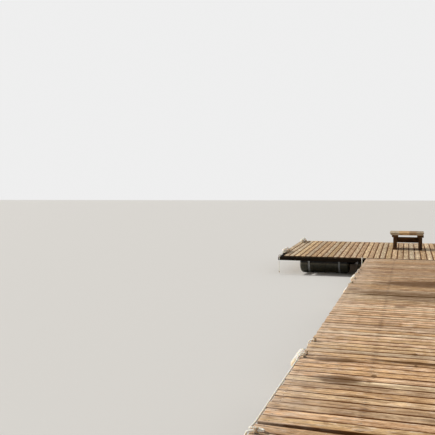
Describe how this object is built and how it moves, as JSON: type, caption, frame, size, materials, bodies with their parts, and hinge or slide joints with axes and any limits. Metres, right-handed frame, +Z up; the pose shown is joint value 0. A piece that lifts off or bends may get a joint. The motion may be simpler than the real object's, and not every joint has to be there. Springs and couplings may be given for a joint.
{
  "type": "floating jetty",
  "caption": "Floating timber jetty on moulded floats: a straight walkway of pinned bays, a wide end platform with a bench, rope-hung fenders and mooring ropes.",
  "frame": {"origin": "on the ground under the middle of the whole jetty, at the lowest line of its floats", "axes": "+X across the walkway to the right, +Y along the walkway towards the platform, +Z up"},
  "size_m": [6.7356, 20.7306, 1.0399],
  "materials": {
    "deck_boards": "weathered, unpainted",
    "frame_timber": "dark, damp",
    "bench_wood": "weathered",
    "float_shell": "moulded",
    "galvanised_steel": "dull zinc",
    "buffer_rubber": "matte",
    "fender_vinyl": "worn",
    "rope": "laid rope"
  },
  "bodies": {
    "root": {"deck_bay_1": "deck_boards", "deck_bay_2": "deck_boards", "deck_bay_3": "deck_boards", "stringers_bay_1": "frame_timber", "stringers_bay_2": "frame_timber", "stringers_bay_3": "frame_timber", "end_beams_bay_1": "frame_timber", "end_beams_bay_2": "frame_timber", "end_beams_bay_3": "frame_timber", "saddles_bay_1": "frame_timber", "saddles_bay_2": "frame_timber", "saddles_bay_3": "frame_timber", "floats_bay_1": "float_shell", "floats_bay_2": "float_shell", "floats_bay_3": "float_shell", "straps_bay_1": "galvanised_steel", "straps_bay_2": "galvanised_steel", "straps_bay_3": "galvanised_steel", "platform_deck": "deck_boards", "platform_edge_beams": "frame_timber", "platform_end_beams": "frame_timber", "platform_joists": "frame_timber", "platform_saddles": "frame_timber", "near_floats": "float_shell", "far_floats": "float_shell", "platform_straps": "galvanised_steel", "shore_fork": "galvanised_steel", "coupling_forks": "galvanised_steel", "coupling_eyes": "galvanised_steel", "coupling_pins": "galvanised_steel", "buffers": "buffer_rubber", "bench_seat": "bench_wood", "bench_legs": "bench_wood", "bench_stretcher": "bench_wood", "fenders_walkway": "fender_vinyl", "fenders_platform": "fender_vinyl", "fender_lanyards": "rope", "rope_eyes": "galvanised_steel", "mooring_rings": "galvanised_steel", "mooring_ropes": "rope", "edge_rope": "rope"}
  },
  "joints": []
}
